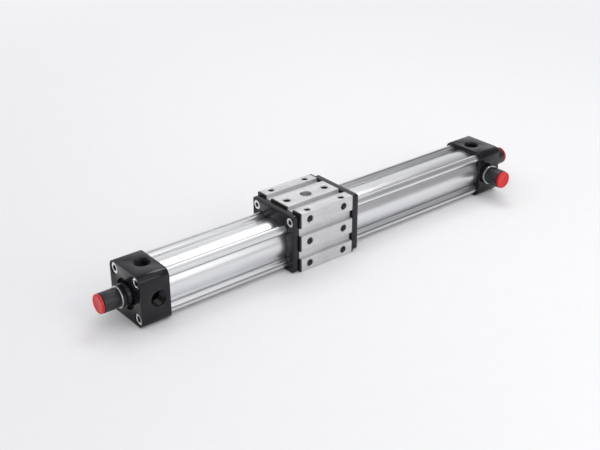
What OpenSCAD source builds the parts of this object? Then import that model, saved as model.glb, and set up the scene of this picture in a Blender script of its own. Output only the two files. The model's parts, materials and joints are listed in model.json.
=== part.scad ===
// Magnetically coupled rodless pneumatic cylinder, bore 32, with the corner screw square of ISO 15552.
// Axis along X, origin under the left cap on the resting plane, +Z up, millimetres.

/* [Cylinder] */
// working travel of the carriage
stroke = 250; // [150:10:400]
// inner diameter of the barrel
bore_d = 32; // [31:0.5:33]
// outer diameter of the round part of the barrel
tube_d = 39; // [38.5:0.25:39.5]
// distance of the corner screws from the axis, along Y and Z
corner = 16.25; // [16:0.05:16.5]
// radius of each corner lobe of the barrel
lobe_r = 4.3; // [4.1:0.05:4.5]
// carriage centre at rest, from the middle of the barrel
rest_shift = -23; // [-60:1:60]

/* [End caps] */
// distance of the corner screws from the faces of a cap
screw_in = 6.75; // [6.5:0.05:8]
// length of a cap between its two flat faces
cap_len = 27; // [26:0.5:32]
// radius of the long edges of a cap
cap_r = 6.5; // [5:0.5:8]
// distance of the side ports from the outer end face
port_in = 16.5; // [16:0.5:18]
// radius of a port, at the crest of its thread
port_r = 6.6; // [6.4:0.05:6.8]
// depth of a port
port_depth = 11.5; // [11:0.5:12.5]
// height of the boss around the end port
boss_h = 3.5; // [2.5:0.5:5]

/* [Carriage] */
// length of the aluminium block
block_len = 57.4; // [56:0.2:64]
// radial thickness of the outer magnets
magnet_h = 5.2; // [4.4:0.1:6]
// wall between the outer magnets' pockets and the side grooves
side_wall = 0.4; // [0.4:0.1:2]
// top of the block above the axis
block_top = 33.1; // [32.6:0.1:36]
// clearance between the block and the resting plane
under_gap = 0.4; // [0.3:0.05:0.6]
// width of the long grooves
groove_w = 8; // [7:0.5:8.5]
// depth of the long grooves
groove_d = 3.5; // [2:0.25:3.75]
// thickness of an end plate
plate_t = 6.5; // [6:0.25:8]
// thickness of the black frame between block and end plate
frame_t = 1.6; // [1:0.2:2]
// step from the block's faces down to the end plate's edge
plate_step = 1.8; // [1:0.2:2]
// radius of the end plates' corners
plate_r = 2; // [1:0.25:3]

/* [Connectors] */
// width across the flats of the hexagon
hex_af = 17; // [16:0.5:18]
// radius of the round body
body_r = 8.6; // [8.2:0.1:9]
// height of the closed connector above its seat
conn_h = 22; // [21:0.5:26]
// height of the longer one on the right end
conn_h_right = 26; // [21:0.5:30]
// radius of the tube socket
socket_r = 5.08; // [4.5:0.02:5.5]

/* [Fits] */
// radial clearance of sliding parts
run_gap = 0.06; // [0.04:0.01:0.09]
// clearance between parts that are only assembled
fit_gap = 0.2; // [0.15:0.05:0.3]

/* [Hidden] */
$fn = 72;
// extra length of a cut, past the face where it opens
over = 1;
// clearance of a seal or ring in its groove
hair = 0.05;
// caps and barrel
cap_w = 2 * (corner + screw_in);
axis_z = cap_w / 2;
half_cap = cap_len / 2;
bore_r = bore_d / 2;
tube_r = tube_d / 2;
spigot_len = 10;
spigot_r = bore_r - 0.15;
bumper_t = 3;
bumper_in = 2.5;
piston_half = 42;
barrel_len = stroke + 2 * (piston_half + spigot_len + bumper_t);
mid_x = half_cap + barrel_len / 2;
car_x = mid_x + rest_shift;
port_x = port_in - half_cap;
port_chamfer = 0.7;
recess_r = 13.5;
recess_d = 3;
boss_r = 10.25;
way_r = 6;
feed_r = 4.5;
foot_y = 9;
foot_d = 8;
foot_chamfer = 0.5;
m5_r = 2.55;
m6_r = 3.05;
lobe_out = corner * sqrt(2);
nose_cut = 0.5;
neck_half = 2.3;
line_r = 0.65;
line_out = 0.1;
line_turn = 67;
core_r = 2.5;
core_hole_r = core_r + 0.05;
// corner screws of the caps
head_h = 6;
head_r = 5;
head_sink = 0.5;
head_hole_r = head_r + 0.3;
shank_r = 2.95;
shank_hole_r = 3.2;
grip = 14;
// O-ring of the spigot
oring_x = 4;
oring_w = 3.2;
oring_floor = bore_r - 2.4;
oring_r = 1.3;
// connectors
hex_h = 3.2;
ring_t = 1.8;
ring_out = 1;
nipple_r = 6;
nipple_h = 4.3;
air_r = 4;
stud_short = 1.5;
body_z = hex_h + ring_t;
collar_h = 1.6;
collar_in = 0.9;
flat_in = 0.35;
flange_t = 2.3;
flange_in = 0.4;
plug_gap = 0.3;
stem_z = body_z + 3.6;
// carriage block
block_bot = under_gap - axis_z;
liner_t = 0.84;
liner_gap = 0.03;
cavity_g = run_gap + liner_t + liner_gap;
magnet_t = 6.96;
pole_t = 1.7;
shim = 0.04;
pitch = magnet_t + pole_t + 2 * shim;
stack = 1.5 * pitch + pole_t / 2 + shim;
magnet_turn = 28;
pocket_turn = 28.6;
outer_r0 = tube_r + 0.8;
outer_r1 = outer_r0 + magnet_h;
block_w = 2 * (outer_r1 + fit_gap + side_wall + groove_d);
row_x = stack + 5;
mid_hole_x = row_x + 2.2;
top_y = block_w / 2 - 4.6;
top_groove_y = block_w / 2 - 14.6;
side_mid = 4.2;
side_dz = block_top - side_mid - 7.6;
groove_hi = side_mid + side_dz / 2 + 0.35;
groove_lo = side_mid - side_dz / 2 - 0.45;
m5_mouth = m5_r + 0.85;
m6_mouth = m6_r + 0.75;
mid_mouth = m6_r + 0.95;
mid_hole_d = 9;
centre_r = 5;
centre_chamfer = 0.5;
centre_d = block_top - outer_r1 - 1.6;
side_hole_d = block_w / 2 - corner - lobe_r - cavity_g - 0.9;
top_hole_d = block_top - side_mid - side_dz - m6_r - 0.35;
// end plates, wipers and their screws
plate_sy = block_w / 2 - 6.6;
plate_sz = block_top - 8.4;
plate_x = car_x - block_len / 2 - frame_t - plate_t;
plate_thread_d = block_len / 2 - row_x - m6_r - 1;
plate_sink = 4.2;
plate_head_r = 4.25;
plate_head_h = 4;
plate_bore_r = 2.8;
plate_pass = 0.5;
frame_pass = 0.6;
wiper_t = 3;
wiper_wall = 1.2;
// piston
stud_r = 4;
stud_in = 3;
stud_hole_r = stud_r + 0.15;
nut_af = 13;
nut_in = 2.5;
nut_h = 6.5;
nut_pocket_r = 8.2;
head_side = 0.5;
seal_x = 5.8;
seal_w = 3.2;
seal_deep = 3;
wear_x = 15;
wear_w = 6.2;
wear_deep = 1.7;
magnet_side = 1.5;
pole_side = 0.6;

// ---- placing ----
// local Z runs along +X from x, local X is Y and local Y is Z, about the axis
module on_x(x) {
  translate([x, 0, axis_z]) rotate([90, 0, 90]) children();
}
// the right half mirrors the left half
module other_end() {
  translate([2 * mid_x, 0, 0]) mirror([1, 0, 0]) children();
}
module other_side_of_carriage() {
  translate([2 * car_x, 0, 0]) mirror([1, 0, 0]) children();
}
// local Z points away from the seat of each connector
module seat_left() {
  translate([-half_cap - boss_h, 0, axis_z]) rotate([0, -90, 0]) children();
}
module seat_right() {
  other_end() seat_left() children();
}
module seat_front() {
  translate([2 * mid_x - port_x, -cap_w / 2, axis_z]) rotate([90, 0, 0]) children();
}
module corners() {
  for (sy = [-1, 1]) for (sz = [-1, 1]) translate([sy * corner, sz * corner]) children();
}
// a ring of thickness t from x
module ring_x(x, r0, r1, t) {
  on_x(x) difference() {
    cylinder(r = r1, h = t);
    translate([0, 0, -over]) cylinder(r = r0, h = t + 2 * over);
  }
}

// ---- sections ----
module rounded_box(w, h, r) {
  union() {
    square([w - 2 * r, h], center = true);
    square([w, h - 2 * r], center = true);
    for (a = [-1, 1]) for (b = [-1, 1]) translate([a * (w / 2 - r), b * (h / 2 - r)]) circle(r = r);
  }
}
// outside of the barrel grown by g: a round tube, and a flat-nosed lobe on a neck on each diagonal
module barrel_outline(g) {
  union() {
    circle(r = tube_r + g);
    for (a = [45 : 90 : 315]) rotate(a) {
      translate([0, -neck_half - g]) square([lobe_out, 2 * (neck_half + g)]);
      translate([lobe_out, 0]) difference() {
        circle(r = lobe_r + g);
        translate([lobe_r - nose_cut + g, -lobe_r - g - over]) square([lobe_r, 2 * (lobe_r + g + over)]);
      }
    }
  }
}
// fine lines that run along both flanks of every lobe
module lobe_lines() {
  for (a = [45 : 90 : 315]) rotate(a) translate([lobe_out, 0]) {
    for (b = [-line_turn, line_turn]) rotate(b) translate([lobe_r + line_out, 0]) circle(r = line_r);
  }
}
module block_outline() {
  difference() {
    translate([-block_w / 2, block_bot]) square([block_w, block_top - block_bot]);
    for (s = [-1, 1]) {
      translate([s * top_groove_y - groove_w / 2, block_top - groove_d]) square([groove_w, groove_d + over]);
      for (z = [groove_hi, groove_lo]) {
        translate([s * block_w / 2 - groove_d, z - groove_w / 2]) square([2 * groove_d, groove_w]);
      }
    }
  }
}
module plate_outline() {
  translate([0, (block_bot + block_top - plate_step) / 2])
    rounded_box(block_w - 2 * plate_step, block_top - block_bot - plate_step, plate_r);
}
// a slice of a ring, centred on the direction a
module slice(r0, r1, a, half) {
  rotate(a) intersection() {
    difference() {
      circle(r = r1);
      circle(r = r0);
    }
    polygon([[0, 0], [2 * r1 * cos(half), -2 * r1 * sin(half)], [2 * r1 * cos(half), 2 * r1 * sin(half)]]);
  }
}

// ---- barrel and caps ----
module barrel() {
  color([0.80, 0.81, 0.83]) on_x(half_cap) linear_extrude(barrel_len) difference() {
    barrel_outline(0);
    lobe_lines();
    circle(r = bore_r);
    corners() circle(r = core_hole_r);
  }
}
// a blind round hole with a chamfered mouth, opening at local z = 0 towards +Z
module mouth_hole(r, d, mouth) {
  translate([0, 0, -d]) cylinder(r = r, h = d + over);
  translate([0, 0, r - mouth]) cylinder(r1 = r, r2 = mouth, h = mouth - r);
  cylinder(r = mouth, h = over);
}
module port_cut() {
  mouth_hole(port_r, port_depth, port_r + port_chamfer);
}
module cap_part() {
  color([0.09, 0.09, 0.10]) difference() {
    union() {
      on_x(-half_cap) linear_extrude(cap_len) rounded_box(cap_w, cap_w, cap_r);
      on_x(half_cap) cylinder(r = spigot_r, h = spigot_len);
      on_x(-half_cap - boss_h) cylinder(r = boss_r, h = boss_h + recess_d + over);
    }
    // ring-shaped recess around the boss
    ring_x(-half_cap - boss_h - over, boss_r, recess_r, boss_h + recess_d + over);
    // end port and the air way into the barrel
    seat_left() port_cut();
    on_x(-half_cap) cylinder(r = way_r, h = cap_len + spigot_len + over);
    // top port and front port
    translate([port_x, 0, cap_w]) port_cut();
    translate([port_x, 0, axis_z]) cylinder(r = feed_r, h = axis_z - over);
    translate([port_x, -cap_w / 2, axis_z]) rotate([90, 0, 0]) port_cut();
    translate([port_x, 0, axis_z]) rotate([90, 0, 0]) cylinder(r = feed_r, h = axis_z - over);
    // corner screws
    on_x(-half_cap) corners() {
      translate([0, 0, -over]) cylinder(r = shank_hole_r, h = cap_len + 2 * over);
      translate([0, 0, -over]) cylinder(r = head_hole_r, h = head_h + head_sink + over);
    }
    // groove of the seal
    ring_x(half_cap + oring_x, oring_floor, bore_r + over, oring_w);
    // fixing threads in the underside
    for (s = [-1, 1]) translate([0, s * foot_y, 0]) rotate([180, 0, 0])
      mouth_hole(m5_r, foot_d, m5_r + foot_chamfer);
  }
}
module cap_left() {
  cap_part();
}
module cap_right() {
  other_end() cap_part();
}
// a socket screw, its head's bearing face at local z = 0, its shank and thread towards +Z
module socket_screw(hr, hh, sr, sl, tr, tl) {
  difference() {
    union() {
      translate([0, 0, -hh]) cylinder(r = hr, h = hh);
      cylinder(r = sr, h = sl);
      translate([0, 0, sl]) cylinder(r = tr, h = tl);
    }
    translate([0, 0, -hh - over]) cylinder(r = hr * 0.58, h = hh * 0.55 + over, $fn = 6);
  }
}
module cap_screws_part() {
  color([0.75, 0.76, 0.78]) on_x(head_sink + head_h - half_cap) corners()
    socket_screw(head_r, head_h, shank_r, cap_len - head_h - head_sink, core_r, grip);
}
module cap_screws_left() {
  cap_screws_part();
}
module cap_screws_right() {
  other_end() cap_screws_part();
}
module oring_part() {
  on_x(half_cap + oring_x + oring_w / 2) rotate_extrude() intersection() {
    translate([(oring_floor + bore_r) / 2, 0]) circle(r = oring_r);
    translate([oring_floor + hair / 2, -oring_w / 2]) square([bore_r - oring_floor - hair, oring_w]);
  }
}
module spigot_orings() {
  color([0.05, 0.05, 0.05]) {
    oring_part();
    other_end() oring_part();
  }
}
module bumper_part() {
  ring_x(half_cap + spigot_len, way_r + bumper_in / 5, bore_r - bumper_in, bumper_t);
}
module end_bumpers() {
  color([0.15, 0.25, 0.30]) {
    bumper_part();
    other_end() bumper_part();
  }
}

// ---- connectors: stud and hexagon, lock ring, body, plug; seat at local z = 0, closed height h ----
module conn_base() {
  color([0.10, 0.10, 0.11]) difference() {
    union() {
      translate([0, 0, stud_short - port_depth]) cylinder(r = port_r - fit_gap, h = port_depth);
      cylinder(r = hex_af / sqrt(3), h = hex_h, $fn = 6);
      cylinder(r = nipple_r, h = hex_h + nipple_h);
    }
    translate([0, 0, -port_depth]) cylinder(r = air_r, h = port_depth + hex_h + nipple_h + over);
  }
}
module conn_ring() {
  color([0.78, 0.79, 0.80]) translate([0, 0, hex_h]) difference() {
    cylinder(r = body_r + ring_out, h = ring_t);
    translate([0, 0, -over]) cylinder(r = nipple_r + fit_gap, h = ring_t + 2 * over);
  }
}
module conn_body(h) {
  top = h - flange_t - plug_gap;
  color([0.11, 0.11, 0.12]) difference() {
    union() {
      translate([0, 0, body_z]) cylinder(r = body_r - collar_in, h = collar_h);
      translate([0, 0, body_z + collar_h * 0.75]) intersection() {
        cylinder(r = body_r, h = top - body_z - collar_h * 0.75);
        cylinder(r = (body_r - flat_in) * 2 / sqrt(3), h = top - body_z - collar_h * 0.75, $fn = 6);
      }
    }
    translate([0, 0, body_z - over]) cylinder(r = nipple_r + fit_gap, h = nipple_h - ring_t + fit_gap + over);
    translate([0, 0, body_z]) cylinder(r = socket_r, h = h);
  }
}
module plug(h) {
  color([0.75, 0.08, 0.09]) union() {
    translate([0, 0, h - flange_t]) cylinder(r = body_r - flange_in, h = flange_t);
    translate([0, 0, stem_z]) cylinder(r = socket_r - run_gap, h = h - flange_t / 2 - stem_z);
  }
}
module conn_base_left() { seat_left() conn_base(); }
module conn_ring_left() { seat_left() conn_ring(); }
module conn_body_left() { seat_left() conn_body(conn_h); }
module plug_left() { seat_left() plug(conn_h); }
module conn_base_right() { seat_right() conn_base(); }
module conn_ring_right() { seat_right() conn_ring(); }
module conn_body_right() { seat_right() conn_body(conn_h_right); }
module plug_right() { seat_right() plug(conn_h_right); }
module conn_base_front() { seat_front() conn_base(); }
module conn_ring_front() { seat_front() conn_ring(); }
module conn_body_front() { seat_front() conn_body(conn_h); }
module plug_front() { seat_front() plug(conn_h); }

// ---- carriage ----
module carriage_block() {
  color([0.78, 0.78, 0.79]) difference() {
    on_x(car_x - block_len / 2) linear_extrude(block_len) difference() {
      block_outline();
      barrel_outline(cavity_g);
    }
    // pockets of the outer magnets
    on_x(car_x - stack - fit_gap) linear_extrude(2 * (stack + fit_gap))
      for (a = [0, 90, 180]) slice(tube_r, outer_r1 + fit_gap, a, pocket_turn);
    // top: four small threads, two larger ones in line and the centring bore
    translate([car_x, 0, axis_z + block_top]) {
      for (sx = [-1, 1]) {
        for (sy = [-1, 1]) translate([sx * row_x, sy * top_y, 0]) mouth_hole(m5_r, top_hole_d, m5_mouth);
        translate([sx * mid_hole_x, 0, 0]) mouth_hole(m6_r, mid_hole_d, mid_mouth);
      }
      mouth_hole(centre_r, centre_d, centre_r + centre_chamfer);
    }
    // front and back: six threads each
    for (s = [-1, 1]) for (sx = [-1, 1]) for (k = [-1, 0, 1])
      translate([car_x + sx * row_x, s * block_w / 2, axis_z + side_mid + k * side_dz])
        rotate([-90 * s, 0, 0]) mouth_hole(m6_r, side_hole_d, m6_mouth);
    // threads of the end plate screws
    for (x = [-over, block_len - plate_thread_d]) on_x(car_x - block_len / 2 + x)
      for (s = [-1, 1]) translate([s * plate_sy, plate_sz, 0]) cylinder(r = m5_r, h = plate_thread_d + over);
  }
}
module plate_holes(r) {
  for (s = [-1, 1]) translate([s * plate_sy, plate_sz]) circle(r = r);
}
module frame_part() {
  color([0.05, 0.05, 0.06]) on_x(car_x - block_len / 2 - frame_t) linear_extrude(frame_t) difference() {
    block_outline();
    barrel_outline(frame_pass);
    plate_holes(plate_bore_r);
  }
}
module frame_left() { frame_part(); }
module frame_right() { other_side_of_carriage() frame_part(); }
module plate_part() {
  color([0.08, 0.08, 0.09]) difference() {
    on_x(plate_x) linear_extrude(plate_t) difference() {
      plate_outline();
      barrel_outline(plate_pass);
      plate_holes(plate_bore_r);
    }
    on_x(plate_x + plate_t - wiper_t) linear_extrude(wiper_t + over) barrel_outline(wiper_wall);
    on_x(plate_x - over) linear_extrude(plate_sink + over) plate_holes(plate_head_r + 0.25);
  }
}
module end_plate_left() { plate_part(); }
module end_plate_right() { other_side_of_carriage() plate_part(); }
module wiper_part() {
  color([0.13, 0.13, 0.14]) on_x(plate_x + plate_t - wiper_t + shim / 2)
    linear_extrude(wiper_t - shim) difference() {
      barrel_outline(wiper_wall - liner_gap);
      barrel_outline(run_gap);
    }
}
module wiper_left() { wiper_part(); }
module wiper_right() { other_side_of_carriage() wiper_part(); }
module plate_screws_part() {
  through = plate_t - plate_sink + frame_t;
  color([0.75, 0.76, 0.78]) on_x(plate_x + plate_sink) for (s = [-1, 1]) translate([s * plate_sy, plate_sz, 0])
    socket_screw(plate_head_r, plate_head_h, core_r, through, core_r, plate_thread_d - fit_gap);
}
module plate_screws_left() { plate_screws_part(); }
module plate_screws_right() { other_side_of_carriage() plate_screws_part(); }
module liner_part() {
  color([0.85, 0.83, 0.76]) on_x(car_x - block_len / 2 + fit_gap)
    linear_extrude(block_len / 2 - stack - 3 * fit_gap) difference() {
      barrel_outline(run_gap + liner_t);
      barrel_outline(run_gap);
    }
}
module glide_liner_left() { liner_part(); }
module glide_liner_right() { other_side_of_carriage() liner_part(); }
// arcs above, in front of and behind the barrel, one row at each place of the list
module outer_arcs(places, t) {
  for (k = places) on_x(car_x + k * pitch - t / 2) linear_extrude(t)
    for (a = [0, 90, 180]) slice(outer_r0, outer_r1, a, magnet_turn);
}
module outer_magnets() {
  color([0.35, 0.35, 0.38]) outer_arcs([-1, 0, 1], magnet_t);
}
module outer_yokes() {
  color([0.25, 0.25, 0.27]) outer_arcs([-1.5, -0.5, 0.5, 1.5], pole_t);
}

// ---- piston, carried along under the carriage ----
piston_x = car_x - piston_half;
module piston_stud() {
  color([0.55, 0.56, 0.58]) on_x(piston_x + stud_in) cylinder(r = stud_r, h = 2 * (piston_half - stud_in));
}
module head_part() {
  difference() {
    on_x(piston_x) cylinder(r = bore_r - head_side, h = piston_half - stack);
    on_x(piston_x - over) cylinder(r = stud_hole_r, h = piston_half);
    on_x(piston_x - over) cylinder(r = nut_pocket_r, h = nut_in + nut_h + over);
    ring_x(piston_x + seal_x, bore_r - seal_deep, bore_r + over, seal_w);
    ring_x(piston_x + wear_x, bore_r - wear_deep, bore_r + over, wear_w);
  }
}
module piston_heads() {
  color([0.72, 0.73, 0.75]) {
    head_part();
    other_side_of_carriage() head_part();
  }
}
module nut_part() {
  on_x(piston_x + nut_in) difference() {
    cylinder(r = nut_af / sqrt(3), h = nut_h, $fn = 6);
    translate([0, 0, -over]) cylinder(r = stud_r + hair, h = nut_h + 2 * over);
  }
}
module piston_nuts() {
  color([0.60, 0.61, 0.63]) {
    nut_part();
    other_side_of_carriage() nut_part();
  }
}
// lip seal: a ring whose outer lip narrows to its edge
module seal_part() {
  on_x(piston_x + seal_x + hair) rotate_extrude() polygon([
    [bore_r - seal_deep + hair, 0],
    [bore_r - seal_deep * 0.4, 0],
    [bore_r - hair, seal_w * 0.3],
    [bore_r - hair, seal_w * 0.5],
    [bore_r - seal_deep * 0.2, seal_w * 0.75],
    [bore_r - seal_deep * 0.2, seal_w - 2 * hair],
    [bore_r - seal_deep + hair, seal_w - 2 * hair]]);
}
module piston_seals() {
  color([0.05, 0.05, 0.05]) {
    seal_part();
    other_side_of_carriage() seal_part();
  }
}
module wear_part() {
  ring_x(piston_x + wear_x + hair, bore_r - wear_deep + hair, bore_r - hair, wear_w - 2 * hair);
}
module wear_rings() {
  color([0.35, 0.22, 0.12]) {
    wear_part();
    other_side_of_carriage() wear_part();
  }
}
module inner_magnets() {
  color([0.35, 0.35, 0.38]) for (k = [-1, 0, 1])
    ring_x(car_x + k * pitch - magnet_t / 2, stud_hole_r, bore_r - magnet_side, magnet_t);
}
module pole_discs() {
  color([0.25, 0.25, 0.27]) for (k = [-1.5, -0.5, 0.5, 1.5])
    ring_x(car_x + k * pitch - pole_t / 2, stud_hole_r, bore_r - pole_side, pole_t);
}

barrel();
cap_left();
cap_right();
cap_screws_left();
cap_screws_right();
spigot_orings();
end_bumpers();
conn_base_left();
conn_ring_left();
conn_body_left();
plug_left();
conn_base_right();
conn_ring_right();
conn_body_right();
plug_right();
conn_base_front();
conn_ring_front();
conn_body_front();
plug_front();
carriage_block();
frame_left();
frame_right();
end_plate_left();
end_plate_right();
wiper_left();
wiper_right();
plate_screws_left();
plate_screws_right();
glide_liner_left();
glide_liner_right();
outer_magnets();
outer_yokes();
piston_stud();
piston_heads();
piston_nuts();
piston_seals();
wear_rings();
inner_magnets();
pole_discs();
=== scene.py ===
import json
import math

import bpy
from mathutils import Euler, Matrix, Vector

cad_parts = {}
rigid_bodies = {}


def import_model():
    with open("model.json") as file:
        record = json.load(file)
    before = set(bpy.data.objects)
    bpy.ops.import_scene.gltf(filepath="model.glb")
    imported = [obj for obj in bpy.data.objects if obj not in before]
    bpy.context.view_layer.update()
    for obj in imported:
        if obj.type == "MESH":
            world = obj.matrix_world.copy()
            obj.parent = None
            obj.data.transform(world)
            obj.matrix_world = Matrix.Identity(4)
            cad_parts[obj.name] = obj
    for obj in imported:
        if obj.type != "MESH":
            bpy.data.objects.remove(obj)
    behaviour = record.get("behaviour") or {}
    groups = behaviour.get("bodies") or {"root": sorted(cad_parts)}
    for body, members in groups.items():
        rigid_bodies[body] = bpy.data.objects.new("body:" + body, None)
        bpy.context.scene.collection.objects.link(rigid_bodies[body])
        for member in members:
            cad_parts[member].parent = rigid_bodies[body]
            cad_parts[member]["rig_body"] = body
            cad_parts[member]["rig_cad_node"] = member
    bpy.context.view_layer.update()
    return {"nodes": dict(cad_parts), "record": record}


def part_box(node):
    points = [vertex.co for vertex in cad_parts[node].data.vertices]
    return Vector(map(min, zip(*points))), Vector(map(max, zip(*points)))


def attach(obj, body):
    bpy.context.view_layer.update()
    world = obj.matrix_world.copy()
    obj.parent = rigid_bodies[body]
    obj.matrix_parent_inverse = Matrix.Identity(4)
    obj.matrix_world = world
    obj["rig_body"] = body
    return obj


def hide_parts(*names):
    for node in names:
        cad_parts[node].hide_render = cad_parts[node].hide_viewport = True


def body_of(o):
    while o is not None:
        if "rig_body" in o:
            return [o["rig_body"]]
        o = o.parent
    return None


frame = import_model()

MM = 0.001
CAP_LOW, CAP_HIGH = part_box("cap_left")
AXIS_Z = (CAP_LOW.z + CAP_HIGH.z) / 2
# along Y and Z from the barrel's axis: the line drawn into a lobe's flank, and the corner where its neck starts; the
# barrel's finish paints shade at both
LOBE_LINE = (0.02033, 0.0146)
NECK_CORNER = (0.01532, 0.01206)


# ---- shader maths ----
class Value:
    """A shader socket that takes part in Python expressions: each operator adds a Math node."""

    def __init__(self, finish, socket):
        self.finish = finish
        self.socket = socket

    def math(self, operation, first, second):
        return self.finish.node("ShaderNodeMath", {"operation": operation}, {0: first, 1: second})

    def __add__(self, other):
        return self.math("ADD", self, other)

    def __sub__(self, other):
        return self.math("SUBTRACT", self, other)

    def __rsub__(self, other):
        return self.math("SUBTRACT", other, self)

    def __mul__(self, other):
        return self.math("MULTIPLY", self, other)

    __radd__ = __add__
    __rmul__ = __mul__


class Nodes:
    """The node tree of a material or of the world."""

    def __init__(self, holder):
        holder.use_nodes = True
        self.tree = holder.node_tree

    def node(self, kind, settings, inputs, output=0):
        """Adds a node: its settings first, then the values or links of its sockets."""
        made = self.tree.nodes.new(kind)
        for key, setting in settings.items():
            setattr(made, key, setting)
        for key, value in inputs.items():
            if isinstance(value, Value):
                self.tree.links.new(value.socket, made.inputs[key])
            else:
                made.inputs[key].default_value = value
        return Value(self, made.outputs[output])

    def rise(self, value, start, end):
        """0 below start, 1 above end, smooth in between."""
        sockets = {"Value": value, "From Min": start, "From Max": end}
        return self.node("ShaderNodeMapRange", {"interpolation_type": "SMOOTHSTEP"}, sockets)

    def colour(self, factor, first, second):
        """The first colour where factor is 0, the second where it is 1; each is a link or three numbers."""
        first, second = (c if isinstance(c, Value) else (*c, 1) for c in (first, second))
        return self.node("ShaderNodeMix", {"data_type": "RGBA"}, {0: factor, 6: first, 7: second}, 2)

    def ray(self, kind):
        return self.node("ShaderNodeLightPath", {}, {}, kind)


class Finish(Nodes):
    """A procedural material on object coordinates, built round one Principled shader."""

    def __init__(self, name, **uniform):
        self.material = bpy.data.materials.new(name)
        super().__init__(self.material)
        self.tree.nodes.clear()
        self.shader = self.tree.nodes.new("ShaderNodeBsdfPrincipled")
        output = self.tree.nodes.new("ShaderNodeOutputMaterial")
        self.tree.links.new(self.shader.outputs["BSDF"], output.inputs["Surface"])
        for socket, value in uniform.items():
            self.shader.inputs[socket.replace("_", " ")].default_value = value
        self.place = self.node("ShaderNodeTexCoord", {}, {}, "Object")

    def stretched(self, x, y, z):
        """Object coordinates scaled along each axis, for a pattern drawn out along one of them."""
        return self.node("ShaderNodeVectorMath", {"operation": "MULTIPLY"}, {0: self.place, 1: (x, y, z)})

    def noise(self, per_metre, detail=2.0, roughness=0.5, vector=None):
        sockets = {"Vector": vector or self.place, "Scale": per_metre, "Detail": detail, "Roughness": roughness}
        return self.node("ShaderNodeTexNoise", {}, sockets)

    def cells(self, per_metre):
        return self.node("ShaderNodeTexVoronoi", {"feature": "F1"}, {"Vector": self.place, "Scale": per_metre})

    def relief(self, height, depth):
        """A bump of the given depth in metres."""
        sockets = {"Height": height, "Distance": depth, "Strength": 1.0}
        self.set("Normal", self.node("ShaderNodeBump", {}, sockets))

    def set(self, socket, value):
        self.tree.links.new(value.socket, self.shader.inputs[socket])


# ---- finishes ----
def clear_anodised_extrusion():
    """Satin aluminium with the fine lines that the die leaves along its length, and painted shade along the lobes'
    flank grooves, along their noses and in the corners where their necks meet the tube.
    """
    made = Finish("clear_anodised_extrusion", Metallic=1.0)
    lines = made.noise(1300, 3, 0.6, made.stretched(0.02, 1, 1))
    hairs = made.noise(5200, 2, 0.6, made.stretched(0.012, 1, 1))
    cloud = made.noise(22, 3)
    shade = made.rise(lines * 0.5 + hairs * 0.2 + cloud * 0.3, 0.36, 0.64)
    metal = made.colour(shade, (0.76, 0.765, 0.78), (0.82, 0.825, 0.84))
    # each quarter of the profile is folded onto the first, and each half of a lobe onto the other
    centred = made.node("ShaderNodeVectorMath", {"operation": "SUBTRACT"}, {0: made.place, 1: (0, 0, AXIS_Z)})
    folded = made.node("ShaderNodeVectorMath", {"operation": "ABSOLUTE"}, {0: centred})
    across = made.node("ShaderNodeSeparateXYZ", {}, {"Vector": folded}, "Y")
    up = made.node("ShaderNodeSeparateXYZ", {}, {"Vector": folded}, "Z")
    far = made.node("ShaderNodeMath", {"operation": "MAXIMUM"}, {0: across, 1: up})
    near = made.node("ShaderNodeMath", {"operation": "MINIMUM"}, {0: across, 1: up})

    def round_about(y, z, inner, outer):
        """1 within inner of a line along the barrel, 0 beyond outer."""
        a, b = far - y, near - z
        away = made.node("ShaderNodeMath", {"operation": "SQRT"}, {0: a * a + b * b})
        return 1 - made.rise(away, inner, outer)

    # painted shade: dark lines along the grooves in the lobes' flanks and along their noses, and darker metal in the
    # corners where the necks meet the tube
    painted_flank_shade = round_about(LOBE_LINE[0], LOBE_LINE[1], 0.0005, 0.0010)
    painted_nose_shade = 1 - made.rise(far - near, 0.0003, 0.0009)
    painted_corner_shade = round_about(NECK_CORNER[0], NECK_CORNER[1], 0.0002, 0.0016)
    painted_shade_metal = made.colour(painted_corner_shade * 0.2 + painted_nose_shade * 0.3, metal, (0.20, 0.20, 0.205))
    made.set("Base Color", made.colour(painted_flank_shade * 0.75, painted_shade_metal, (0.10, 0.10, 0.105)))
    made.set("Roughness", 0.24 + lines * 0.06 + cloud * 0.05)
    made.relief(lines * 0.7 + hairs * 0.3, 0.0000035)
    return made.material


def black_anodised(name, dark, light, sheen):
    """Satin black over a fine machined and blasted grain, with small dusty changes of tone."""
    made = Finish(name, Specular_IOR_Level=0.36)
    grain = made.noise(4200, 3, 0.65)
    cloud = made.noise(70, 3, 0.55)
    shade = made.rise(grain * 0.45 + cloud * 0.55, 0.38, 0.66)
    made.set("Base Color", made.colour(shade, dark, light))
    made.set("Roughness", sheen + grain * 0.10 + cloud * 0.06)
    made.relief(grain, 0.000004)
    return made.material


def moulded_polymer(name, dark, light, sheen, texture=0.00001, shine=0.5):
    """A moulded part: soft flow marks, a fine spark-eroded grain and slightly uneven gloss."""
    made = Finish(name, Specular_IOR_Level=shine)
    flow = made.noise(110, 3, 0.6)
    grain = made.cells(3600)
    shade = made.rise(flow * 0.7 + grain * 0.4, 0.3, 0.75)
    made.set("Base Color", made.colour(shade, dark, light))
    made.set("Roughness", sheen + flow * 0.1)
    made.relief(grain * 0.6 + flow * 0.4, texture)
    return made.material


def blasted_block():
    """Light grey anodised aluminium, bead blasted, with faint saw lines along the extrusion."""
    made = Finish("blasted_light_grey", Metallic=0.8)
    grit = made.noise(1700, 5, 0.75)
    lines = made.noise(700, 2, 0.6, made.stretched(0.03, 1, 1))
    cloud = made.noise(45, 3, 0.55)
    shade = made.rise(grit * 0.62 + lines * 0.16 + cloud * 0.22, 0.38, 0.62)
    made.set("Base Color", made.colour(shade, (0.57, 0.57, 0.575), (0.78, 0.78, 0.785)))
    made.set("Roughness", 0.44 + grit * 0.14)
    made.relief(grit * 0.85 + lines * 0.15, 0.000022)
    return made.material


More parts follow.
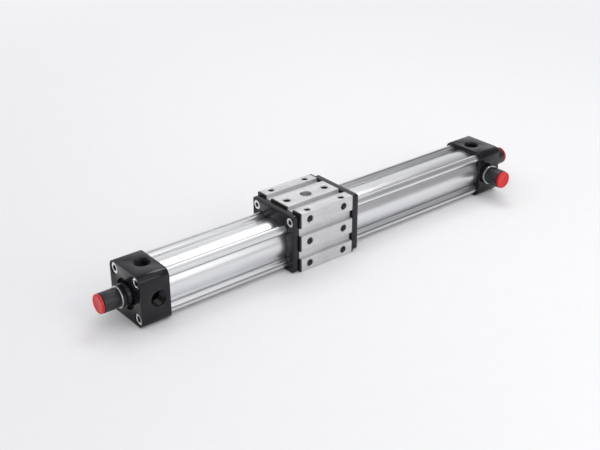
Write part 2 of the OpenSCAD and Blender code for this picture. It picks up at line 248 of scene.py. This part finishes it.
def bright_metal(name, dark, light, sheen, per_metre=900, depth=0.000004):
    """Plated or turned metal with a faint cloud and fine marks."""
    made = Finish(name, Metallic=1.0)
    marks = made.noise(per_metre, 4, 0.65)
    fine = made.noise(per_metre * 6, 2, 0.6)
    shade = made.rise(marks * 0.6 + fine * 0.4, 0.36, 0.66)
    made.set("Base Color", made.colour(shade, dark, light))
    made.set("Roughness", sheen + marks * 0.12)
    made.relief(marks * 0.4 + fine * 0.6, depth)
    return made.material


CENTRE_FINISH = bright_metal("bored_centre", (0.55, 0.55, 0.555), (0.70, 0.70, 0.705), 0.30, 1200, 0.00001)
# painted shade: the near-black bore walls and thread ridges stand in for the shade inside the tapped holes
BORE_PAINTED_SHADE = bright_metal("machined_bore_painted_shade", (0.05, 0.05, 0.052), (0.11, 0.11, 0.112), 0.36, 1500, 0.00001)
# painted shade: the darker socket finish stands in for the shade inside the chrome screws' sockets
SOCKET_PAINTED_SHADE = bright_metal("screw_socket_painted_shade", (0.16, 0.16, 0.163), (0.26, 0.26, 0.265), 0.34)
THREAD_PAINTED_SHADE = bright_metal("cut_thread_painted_shade", (0.05, 0.05, 0.051), (0.10, 0.10, 0.102), 0.30, 1500, 0.00001)
FINISHES = {
    "barrel_anodised": clear_anodised_extrusion(),
    "black_anodised": black_anodised("cap_black_anodised", (0.005, 0.005, 0.007), (0.010, 0.010, 0.013), 0.09),
    "screw_chrome": bright_metal("screw_bright_plate", (0.84, 0.85, 0.86), (0.95, 0.95, 0.96), 0.14),
    "rubber_black": moulded_polymer("seal_nitrile_rubber", (0.018, 0.018, 0.018), (0.034, 0.034, 0.034), 0.62),
    "bumper_rubber": moulded_polymer("bumper_polyurethane", (0.05, 0.09, 0.12), (0.08, 0.13, 0.16), 0.45),
    "hex_black": moulded_polymer("hexagon_black_polymer", (0.008, 0.008, 0.009), (0.016, 0.016, 0.018), 0.40),
    "ring_silver": bright_metal("ring_bright_nickel", (0.42, 0.42, 0.43), (0.56, 0.56, 0.57), 0.24),
    "body_black": moulded_polymer("body_black_polymer", (0.010, 0.011, 0.013), (0.020, 0.022, 0.025), 0.30),
    "plug_red": moulded_polymer("plug_red_polymer", (0.60, 0.008, 0.010), (0.72, 0.014, 0.016), 0.22,
                                shine=0.36),
    "block_grey": blasted_block(),
    "frame_black": moulded_polymer("frame_black_polymer", (0.007, 0.007, 0.008), (0.014, 0.014, 0.015), 0.42),
    "plate_black": black_anodised("plate_black_anodised", (0.006, 0.006, 0.008), (0.013, 0.013, 0.016), 0.18),
    "wiper_dark": moulded_polymer("wiper_dark_polyurethane", (0.035, 0.035, 0.035), (0.06, 0.06, 0.06), 0.50),
    "liner_polymer": moulded_polymer("liner_bearing_polymer", (0.68, 0.65, 0.57), (0.78, 0.75, 0.67), 0.48),
    "magnet_plate": bright_metal("magnet_nickel_plate", (0.40, 0.40, 0.42), (0.55, 0.55, 0.57), 0.26),
    "yoke_steel": bright_metal("yoke_soft_iron", (0.22, 0.22, 0.24), (0.34, 0.34, 0.36), 0.42, 500, 0.00001),
    "steel": bright_metal("stud_turned_steel", (0.42, 0.43, 0.44), (0.56, 0.57, 0.58), 0.28),
    "piston_alu": bright_metal("piston_turned_aluminium", (0.60, 0.61, 0.62), (0.74, 0.75, 0.76), 0.30),
    "wear_brown": moulded_polymer("wear_ring_filled_polymer", (0.20, 0.12, 0.06), (0.30, 0.18, 0.10), 0.50),
}

# ---- modelling ----
def only(piece):
    """Leaves this piece alone selected and active."""
    bpy.ops.object.select_all(action="DESELECT")
    piece.select_set(True)
    bpy.context.view_layer.objects.active = piece


def drawn(name, points):
    """A line through (radius, height) points in millimetres, beside the Z axis, drawn by extruding one vertex."""
    places = [Vector((r * MM, 0, z * MM)) for r, z in points]
    bpy.ops.object.select_all(action="DESELECT")
    bpy.ops.mesh.primitive_plane_add(size=MM, location=places[0])
    piece = bpy.context.object
    piece.name = name
    bpy.ops.object.transform_apply(location=True)
    bpy.ops.object.mode_set(mode="EDIT")
    bpy.ops.mesh.select_all(action="SELECT")
    bpy.ops.mesh.merge(type="CENTER")
    for start, end in zip(places, places[1:]):
        bpy.ops.mesh.extrude_region_move(TRANSFORM_OT_translate={"value": end - start})
    bpy.ops.object.mode_set(mode="OBJECT")
    return piece


def smooth(piece, degrees=32):
    only(piece)
    bpy.ops.object.shade_smooth_by_angle(angle=math.radians(degrees))


def tidied(piece, merge=0.002):
    """Merges doubles and turns every face outwards."""
    only(piece)
    bpy.ops.object.mode_set(mode="EDIT")
    bpy.ops.mesh.select_all(action="SELECT")
    bpy.ops.mesh.remove_doubles(threshold=merge * MM)
    bpy.ops.mesh.normals_make_consistent(inside=False)
    bpy.ops.object.mode_set(mode="OBJECT")


def turned(name, points, steps=64):
    """A turned piece on the Z axis from its half section, which starts and ends on the axis or closes on itself."""
    piece = drawn(name, points)
    bpy.ops.object.mode_set(mode="EDIT")
    bpy.ops.mesh.select_all(action="SELECT")
    bpy.ops.mesh.spin(steps=steps, angle=2 * math.pi, center=(0, 0, 0), axis=(0, 0, 1))
    bpy.ops.object.mode_set(mode="OBJECT")
    tidied(piece)
    return piece


def prism(name, across_flats, low, high):
    """A hexagonal bar on the Z axis between two heights, with corners on the X axis."""
    bpy.ops.object.select_all(action="DESELECT")
    bpy.ops.mesh.primitive_cylinder_add(
        vertices=6, radius=across_flats / math.sqrt(3) * MM, depth=(high - low) * MM,
        location=(0, 0, (low + high) / 2 * MM), rotation=(0, 0, math.pi / 6))
    piece = bpy.context.object
    piece.name = name
    bpy.ops.object.transform_apply(location=True, rotation=True)
    return piece


def joined_by(piece, operation, tool):
    """Cuts, unites or intersects piece with tool, and removes the tool."""
    cut = piece.modifiers.new("cut", "BOOLEAN")
    cut.operation = operation
    cut.solver = "EXACT"
    cut.object = tool
    only(piece)
    bpy.ops.object.modifier_apply(modifier=cut.name)
    only(tool)
    bpy.ops.object.delete()
    return piece


def eased_edges(piece, width, degrees=28, segments=2):
    """Small round edges wherever two faces meet at more than the given angle."""
    ease = piece.modifiers.new("ease", "BEVEL")
    ease.width = width * MM
    ease.segments = segments
    ease.limit_method = "ANGLE"
    ease.angle_limit = math.radians(degrees)
    ease.harden_normals = False
    only(piece)
    bpy.ops.object.modifier_apply(modifier=ease.name)


def set_down(piece, at, turn):
    """Moves a piece made about the Z axis to its place; the place goes into its mesh."""
    piece.rotation_euler = turn
    piece.location = [c * MM for c in at]
    only(piece)
    bpy.ops.object.transform_apply(location=True, rotation=True)


def copied(piece, name):
    made = piece.copy()
    made.data = piece.data.copy()
    made.name = name
    bpy.context.scene.collection.objects.link(made)
    return made


def dressed(piece, slot, body, *nodes, finish=None):
    """Gives a finished piece its finish and its body, and hides the CAD nodes that it stands for."""
    piece.data.name = piece.name
    piece.data.materials.clear()
    piece.data.materials.append(finish or FINISHES[slot])
    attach(piece, body)
    if nodes:
        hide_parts(*nodes)


# ---- CAD nodes that keep their own shape ----
SLOT_OF = {part["node"]: part["material_slot"] for part in frame["record"]["subparts"]}
for name, slot in SLOT_OF.items():
    node = frame["nodes"][name]
    node.data.materials.clear()
    node.data.materials.append(FINISHES[slot])


# ---- caps, carriage block, plates and frames with eased edges ----
def eased(node, name, width, split=True):
    """The CAD node's own shape with its edges broken; split cuts flat faces round openings into triangles first."""
    piece = copied(frame["nodes"][node], name)
    piece.parent = None
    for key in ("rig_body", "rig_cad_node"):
        del piece[key]
    only(piece)
    bpy.ops.mesh.customdata_custom_splitnormals_clear()
    bpy.ops.object.mode_set(mode="EDIT")
    bpy.ops.mesh.select_all(action="SELECT")
    bpy.ops.mesh.remove_doubles(threshold=0.002 * MM)
    bpy.ops.mesh.dissolve_limited(angle_limit=math.radians(0.4))
    if split:
        bpy.ops.mesh.quads_convert_to_tris(quad_method="BEAUTY", ngon_method="BEAUTY")
    bpy.ops.object.mode_set(mode="OBJECT")
    eased_edges(piece, width)
    smooth(piece, 30)
    dressed(piece, SLOT_OF[node], body_of(frame["nodes"][node])[0], node)
    return piece


for node, name, width in (
    ("cap_left", "left_cap", 0.3), ("cap_right", "right_cap", 0.3),
    ("end_plate_left", "left_plate", 0.25), ("end_plate_right", "right_plate", 0.25),
    ("frame_left", "left_frame", 0.2), ("frame_right", "right_frame", 0.2),
):
    eased(node, name, width)
eased("carriage_block", "carriage_table", 0.25, split=False)


def bored(piece, finish, holes):
    """Gives the walls and floors of a piece's holes, below their chamfers, a finish of their own; the dark ones are
    painted shade inside the holes.
    """
    piece.data.materials.append(finish)
    slot = len(piece.data.materials) - 1
    for face in piece.data.polygons:
        for mouth, inward, radius, skin in holes:
            reach = face.center / MM - Vector(mouth)
            depth = reach.dot(Vector(inward))
            if depth > skin and (reach - depth * Vector(inward)).length < radius + 0.06:
                face.material_index = slot


# ---- socket screws ----
def socket_screw(name, head_r, head_h, socket, shank_r, shank_h, thread_r, thread_h):
    """A socket head screw along +Z, its head's bearing face at zero, with a serrated rim."""
    edge = 0.45
    blank = turned(name, [
        (0, -head_h), (head_r - edge, -head_h), (head_r - 0.12, edge * 0.4 - head_h), (head_r, edge - head_h),
        (head_r, -0.3), (head_r - 0.25, 0), (shank_r + 0.2, 0), (shank_r, 0.2), (shank_r, shank_h),
        (thread_r, shank_h + 0.3), (thread_r, shank_h + thread_h - 0.6), (thread_r - 0.6, shank_h + thread_h),
        (0, shank_h + thread_h)], 72)
    only(blank)
    bpy.ops.object.mode_set(mode="EDIT")
    bpy.ops.mesh.select_mode(type="VERT")
    bpy.ops.mesh.select_all(action="DESELECT")
    bpy.ops.object.mode_set(mode="OBJECT")
    for vertex in blank.data.vertices:
        x, y, z = vertex.co / MM
        step = round(math.atan2(y, x) / math.radians(5))
        vertex.select = step % 2 == 0 and math.hypot(x, y) > head_r - 0.02 and z < 0
    bpy.ops.object.mode_set(mode="EDIT")
    bpy.ops.transform.resize(value=(0.978, 0.978, 1), center_override=(0, 0, 0))
    bpy.ops.object.mode_set(mode="OBJECT")
    key = prism("key", socket, -head_h - 1, -head_h * 0.45)
    joined_by(blank, "DIFFERENCE", key)
    lead = turned("lead", [(0, -head_h - 0.5), (socket * 0.577 + 0.75, -head_h - 0.5), (socket * 0.577 - 0.25, 0.5 - head_h),
                           (0, 0.5 - head_h)], 48)
    joined_by(blank, "DIFFERENCE", lead)
    smooth(blank)
    return blank


def run_screws(model, places, name, slot, body, node, turn, head_h, socket):
    inward = Euler(turn).to_matrix() @ Vector((0, 0, 1))
    for k, at in enumerate(places):
        screw = copied(model, f"{name}_{k + 1}")
        screw.rotation_euler = (0, 0, math.radians(23 * k + 9))
        only(screw)
        bpy.ops.object.transform_apply(rotation=True)
        set_down(screw, at, turn)
        dressed(screw, slot, body, node)
        # painted shade: the socket walls are darkened
        bored(screw, SOCKET_PAINTED_SHADE, [(Vector(at) - head_h * inward, inward, socket * 0.58, 0.3)])


AXIS = AXIS_Z / MM
CORNER = 16.25
TO_RIGHT = (0, math.pi / 2, 0)
TO_LEFT = (0, -math.pi / 2, 0)
TO_FRONT = (math.pi / 2, 0, 0)
TO_BACK = (-math.pi / 2, 0, 0)
UP = (0, 0, 0)
DOWN = (math.pi, 0, 0)
mid_x = (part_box("barrel")[0].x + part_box("barrel")[1].x) / 2 / MM
car_x = (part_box("carriage_block")[0].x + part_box("carriage_block")[1].x) / 2 / MM
cap_corners = [(y, AXIS + z) for y in (-CORNER, CORNER) for z in (-CORNER, CORNER)]

cap_screw = socket_screw("cap_screw", 5, 6, 5, 2.95, 20.5, 2.5, 14)
run_screws(cap_screw, [(-7, y, z) for y, z in cap_corners], "left_cap_screw", "screw_chrome", "cylinder",
           "cap_screws_left", TO_RIGHT, 6, 5)
run_screws(cap_screw, [(2 * mid_x + 7, y, z) for y, z in cap_corners], "right_cap_screw", "screw_chrome", "cylinder",
           "cap_screws_right", TO_LEFT, 6, 5)
only(cap_screw)
bpy.ops.object.delete()

plate_screw = socket_screw("plate_screw", 4.25, 4, 4, 2.5, 3.9, 2.5, 5.45)
plate_reach = car_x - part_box("plate_screws_left")[0].x / MM - 4
plate_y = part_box("plate_screws_left")[1].y / MM - 4.25
plate_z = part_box("plate_screws_left")[1].z / MM - 4.25
for side, name, node, turn in ((-1, "left_plate_screw", "plate_screws_left", TO_RIGHT),
                               (1, "right_plate_screw", "plate_screws_right", TO_LEFT)):
    run_screws(plate_screw, [(car_x + side * plate_reach, y, plate_z) for y in (-plate_y, plate_y)], name,
               "screw_chrome", "carriage", node, turn, 4, 4)
only(plate_screw)
bpy.ops.object.delete()


# ---- connectors: heights in millimetres above the seat ----
SEAT_X = CAP_LOW.x / MM
ring_box = [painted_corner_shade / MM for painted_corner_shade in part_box("conn_ring_left")]
HEX_TOP = SEAT_X - ring_box[1].x
RING_TOP = SEAT_X - ring_box[0].x
SLEEVE_FOOT = RING_TOP + 1.2


def hexagon_nipple():
    """Stud, chamfered hexagon and nipple in one."""
    bar = prism("hexagon", 17, 0, HEX_TOP)
    blank = turned("blank", [(0, 0), (8.35, 0), (9.9, 0.85), (9.9, HEX_TOP - 0.85), (8.45, HEX_TOP), (0, HEX_TOP)], 96)
    joined_by(bar, "INTERSECT", blank)
    tip = HEX_TOP + 4.3
    stem = turned("stem", [(4, -10), (5.7, -10), (6.4, -9.3), (6.4, -0.6), (6.0, -0.4), (6.0, tip - 0.3),
                           (5.7, tip), (4, tip), (4, -10)], 64)
    joined_by(bar, "UNION", stem)
    eased_edges(bar, 0.12)
    smooth(bar)
    return bar


def lock_ring():
    """A flat ring with turned, rounded rims."""
    low, high = HEX_TOP, RING_TOP
    ring = turned("ring", [(6.2, low), (9.2, low), (9.5, low + 0.12), (9.6, low + 0.4), (9.6, high - 0.45),
                           (9.5, high - 0.14), (9.2, high), (6.2, high), (6.2, low)], 96)
    smooth(ring)
    return ring


def sleeve(height):
    """Round body with six shallow flats, a necked collar and a broken front edge."""
    foot, top = RING_TOP, height - 2.6
    body = turned("body", [(6.2, foot), (7.7, foot), (7.7, SLEEVE_FOOT), (8.3, SLEEVE_FOOT), (8.6, SLEEVE_FOOT + 0.3),
                           (8.6, top - 0.35), (8.5, top - 0.1), (8.25, top), (5.4, top), (5.08, top - 0.3),
                           (5.08, foot + 2.9), (6.2, foot + 2.9), (6.2, foot)], 96)
    bar = prism("bar", 16.5, foot - 0.4, top + 1)
    joined_by(body, "INTERSECT", bar)
    eased_edges(body, 0.15, 20)
    smooth(body)
    return body


def blanking_plug(height):
    """Red plug: a flange with a soft rim and a shallow dish, on a stem that fills the socket."""
    foot = height - 2.3
    plug = turned("plug", [(0, RING_TOP + 3.6), (4.6, RING_TOP + 3.6), (5.02, RING_TOP + 4.1), (5.02, foot), (7.95, foot),
                           (8.15, foot + 0.15), (8.2, foot + 0.4), (8.2, height - 0.7), (8.08, height - 0.3),
                           (7.8, height - 0.06), (7.4, height), (6.7, height - 0.05), (6.3, height - 0.16),
                           (0, height - 0.2)], 96)
    smooth(plug)
    return plug


SEATS = {
    "left": ((SEAT_X, 0, AXIS), TO_LEFT, 22),
    "right": ((2 * mid_x - SEAT_X, 0, AXIS), TO_RIGHT, 26),
    "front": ((2 * mid_x - 3, -23, AXIS), TO_FRONT, 22),
}
for side, (seat, turn, height) in SEATS.items():
    for piece, name, slot, body, node in (
        (hexagon_nipple(), "hexagon", "hex_black", "cylinder", "conn_base"),
        (lock_ring(), "lock_ring", "ring_silver", "cylinder", "conn_ring"),
        (sleeve(height), "sleeve", "body_black", "cylinder", "conn_body"),
        (blanking_plug(height), "blanking_plug", "plug_red", "plug_" + side, "plug"),
    ):
        piece.name = f"{side}_{name}"
        set_down(piece, seat, turn)
        dressed(piece, slot, body, f"{node}_{side}")


# ---- threads of the open ports and tapped holes ----
def thread(name, radius, pitch, start, depth, steps):
    """The ridge of an internal thread that runs down from the mouth at zero."""
    deep = 0.52 * pitch
    ridge = drawn(name, [(radius + 0.03, -start), (radius - deep, -start - 0.42 * pitch),
                         (radius - deep, -start - 0.58 * pitch), (radius + 0.03, -start - pitch)])
    helix = ridge.modifiers.new("helix", "SCREW")
    helix.angle = 2 * math.pi
    helix.screw_offset = -pitch * MM
    helix.iterations = int((depth - start) / pitch) - 1
    helix.steps = helix.render_steps = steps
    helix.use_smooth_shade = False
    only(ridge)
    bpy.ops.object.modifier_apply(modifier=helix.name)
    tidied(ridge)
    return ridge


def threads(name, model, places, body, finish):
    """One piece with a copy of the model thread in every hole: (place, turn)."""
    parts = []
    for at, turn in places:
        part = copied(model, name)
        set_down(part, at, turn)
        parts.append(part)
    bpy.ops.object.select_all(action="DESELECT")
    for part in parts:
        part.select_set(True)
    bpy.context.view_layer.objects.active = parts[0]
    bpy.ops.object.join()
    parts[0].name = name
    smooth(parts[0], 25)
    dressed(parts[0], None, body, finish=finish)
    only(model)
    bpy.ops.object.delete()


port_right_x = 2 * mid_x - 3
block_low, block_high = (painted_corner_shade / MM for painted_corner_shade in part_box("carriage_block"))
SMALL_HOLES = [((car_x + sx * 19, sy * 25, block_high.z), UP) for sx in (-1, 1) for sy in (-1, 1)]
TOP_HOLES = [((car_x + sx * 21.2, 0, block_high.z), UP) for sx in (-1, 1)]
SIDE_HOLES = [((car_x + sx * 19, s * block_high.y, AXIS + 4.2 + k * 21.3), TO_BACK if s > 0 else TO_FRONT)
              for s in (-1, 1) for sx in (-1, 1) for k in (-1, 0, 1)]
INWARD = {UP: (0, 0, -1), TO_FRONT: (0, 1, 0), TO_BACK: (0, -1, 0)}
# painted shade: the tapped holes' walls and floors are darkened
bored(bpy.data.objects["carriage_table"], BORE_PAINTED_SHADE,
      [(at, INWARD[turn], 2.55, 0.9) for at, turn in SMALL_HOLES]
      + [(at, INWARD[turn], 3.05, 1.0) for at, turn in TOP_HOLES]
      + [(at, INWARD[turn], 3.05, 0.8) for at, turn in SIDE_HOLES])
bored(bpy.data.objects["carriage_table"], CENTRE_FINISH, [((car_x, 0, block_high.z), INWARD[UP], 5.0, 0.6)])
threads("port_threads", thread("thread", 6.6, 1.337, 0.75, 11.3, 48),
        [((3, 0, 46), UP), ((3, -23, AXIS), TO_FRONT), ((port_right_x, 0, 46), UP)], "cylinder",
        FINISHES["black_anodised"])
threads("foot_threads", thread("thread", 2.55, 0.8, 0.5, 7.9, 28),
        [((x, y, 0), DOWN) for x in (0, 2 * mid_x) for y in (-9, 9)], "cylinder", FINISHES["black_anodised"])
# painted shade: the thread ridges in the tapped holes are darkened
threads("table_small_threads", thread("thread", 2.55, 0.8, 0.85, 4.2, 28), SMALL_HOLES, "carriage", THREAD_PAINTED_SHADE)
threads("table_threads", thread("thread", 3.05, 1.0, 0.95, 8.8, 28), TOP_HOLES, "carriage", THREAD_PAINTED_SHADE)
threads("side_threads", thread("thread", 3.05, 1.0, 0.75, 7.0, 28), SIDE_HOLES, "carriage", THREAD_PAINTED_SHADE)

# ---- stage, lights and camera ----
PALE = (0.93, 0.935, 0.945)
DARK = (0.0, 0.0, 0.0)
SWEEP = (0.845, 0.85, 0.86)


def seen_floor():
    """A matt pale floor. To the eye, a little of its brightness is its own, more of it where the lamps fall off."""
    made = Finish("pale_floor", Roughness=0.9, Specular_IOR_Level=0.1)
    grain = made.noise(60, 2)
    made.set("Base Color", made.colour(grain, (0.87, 0.87, 0.875), (0.89, 0.89, 0.895)))
    away = made.node("ShaderNodeVectorMath", {"operation": "LENGTH"}, {0: made.place}, "Value")
    own = made.colour(made.rise(away, 0.2, 1.6), (0.035, 0.035, 0.037), (0.36, 0.363, 0.37))
    made.set("Emission Color", made.colour(made.ray("Is Camera Ray"), DARK, own))
    made.shader.inputs["Emission Strength"].default_value = 1.0
    return made.material


def studio_air():
    """Pale to the eye. Reflections show a dim room, and low down behind the piece a pale sweep."""
    air = bpy.data.worlds.new("studio")
    made = Nodes(air)
    direction = made.node("ShaderNodeTexCoord", {}, {}, "Generated")
    height = made.node("ShaderNodeSeparateXYZ", {}, {"Vector": direction}, "Z")
    behind = made.node("ShaderNodeSeparateXYZ", {}, {"Vector": direction}, "Y")
    sweep = made.rise(behind, 0.0, 0.5) * (1 - made.rise(height, 0.45, 0.8))
    mirrored = made.colour(sweep, (0.335, 0.335, 0.34), SWEEP)
    scattered = made.colour(made.ray("Is Glossy Ray"), (0.66, 0.66, 0.67), mirrored)
    shade = made.colour(made.ray("Is Camera Ray"), scattered, PALE)
    made.tree.links.new(shade.socket, made.tree.nodes["Background"].inputs["Color"])
    return air


def soft_light(name, place, aim, width, depth, watts):
    bpy.ops.object.light_add(type="AREA", location=place)
    lamp = bpy.context.object
    lamp.name = name
    lamp.data.shape = "RECTANGLE"
    lamp.data.size = width
    lamp.data.size_y = depth
    lamp.data.energy = watts
    lamp.visible_camera = False
    lamp.rotation_euler = (Vector(aim) - Vector(place)).to_track_quat("-Z", "Y").to_euler()
    return lamp


bpy.ops.object.select_all(action="DESELECT")
bpy.ops.mesh.primitive_plane_add(size=10, location=(0.2, 0, -0.0001))
floor = bpy.context.object
floor.name = "floor"
floor.data.materials.append(seen_floor())

bpy.context.scene.world = studio_air()

LIGHTS = {
    "overhead": ((0.3, 0.05, 0.75), (0.3, 0.05, 0.0), 0.8, 1.1, 0.5),
    "shine": ((0.55, 0.27, 0.8), (0.0, 0.0, 0.04), 0.48, 0.3, 1.7),
    "front_top": ((0.3, -0.4, 0.8), (0.2, 0.0, 0.0), 0.85, 0.5, 0.7),
    "front": ((0.3, -0.9, 0.45), (0.3, 0.0, 0.1), 0.8, 0.6, 2.05),
}
for name, placing in LIGHTS.items():
    soft_light(name, *placing)

YAW, PITCH, ROLL = -0.6804349, 0.46931757, -0.00271883
bpy.ops.object.camera_add(location=(-0.34723, -0.63154, 0.43912))
camera = bpy.context.object
turn = Euler((math.pi / 2 - PITCH, 0, YAW)).to_matrix() @ Matrix.Rotation(ROLL, 3, "Z")
camera.rotation_euler = turn.to_euler()
camera.data.sensor_width = 36
camera.data.lens = 61.667
camera.data.clip_start = 0.01
bpy.context.scene.camera = camera
bpy.context.scene.view_settings.view_transform = "Standard"
